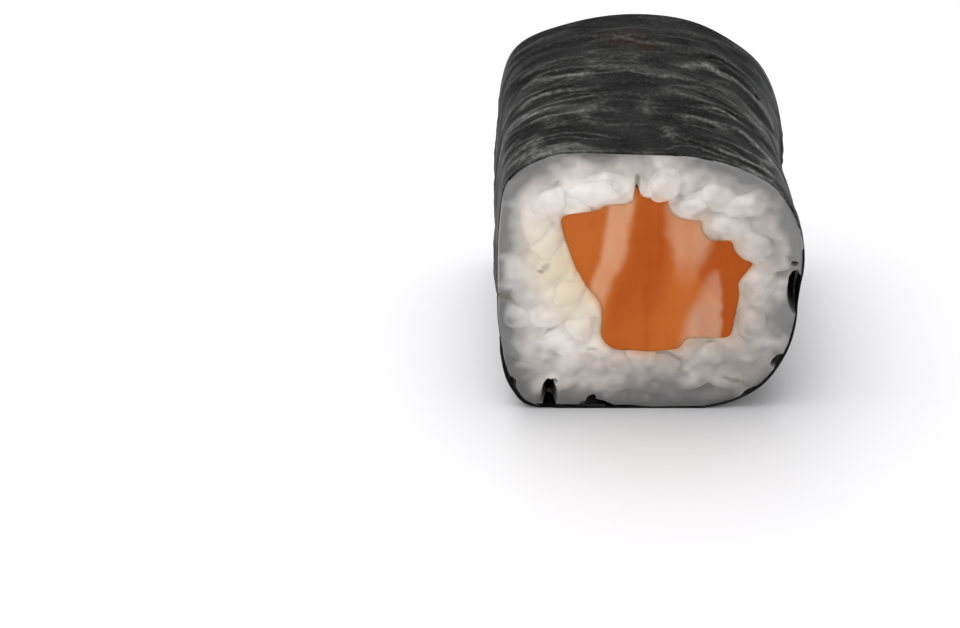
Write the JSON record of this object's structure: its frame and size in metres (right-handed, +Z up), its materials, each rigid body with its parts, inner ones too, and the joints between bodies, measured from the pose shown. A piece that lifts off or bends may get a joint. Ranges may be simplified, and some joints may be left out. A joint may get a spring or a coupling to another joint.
{
  "type": "salmon maki roll",
  "caption": "One cut piece of a thin sushi roll: a strip of raw salmon in packed rice, wrapped in a lapped sheet of nori, lying on its wrap.",
  "frame": {"origin": "middle of the bounding box's underside, on the surface that the roll rests on", "axes": "+Z up; Y along the roll's axis, with the cut face that shows its filling best towards -Y; +X to the right as seen from that face"},
  "size_m": [0.0286, 0.0266, 0.0289],
  "materials": {
    "nori": "dry pressed seaweed, near black with a green cast, satin with fine wrinkles",
    "rice": "cooked short-grain rice, moist, translucent white",
    "salmon": "raw salmon, orange with pale soft-edged fat lines, moist"
  },
  "bodies": {
    "root": {"nori": "nori", "rice": "rice", "salmon": "salmon"}
  },
  "joints": []
}
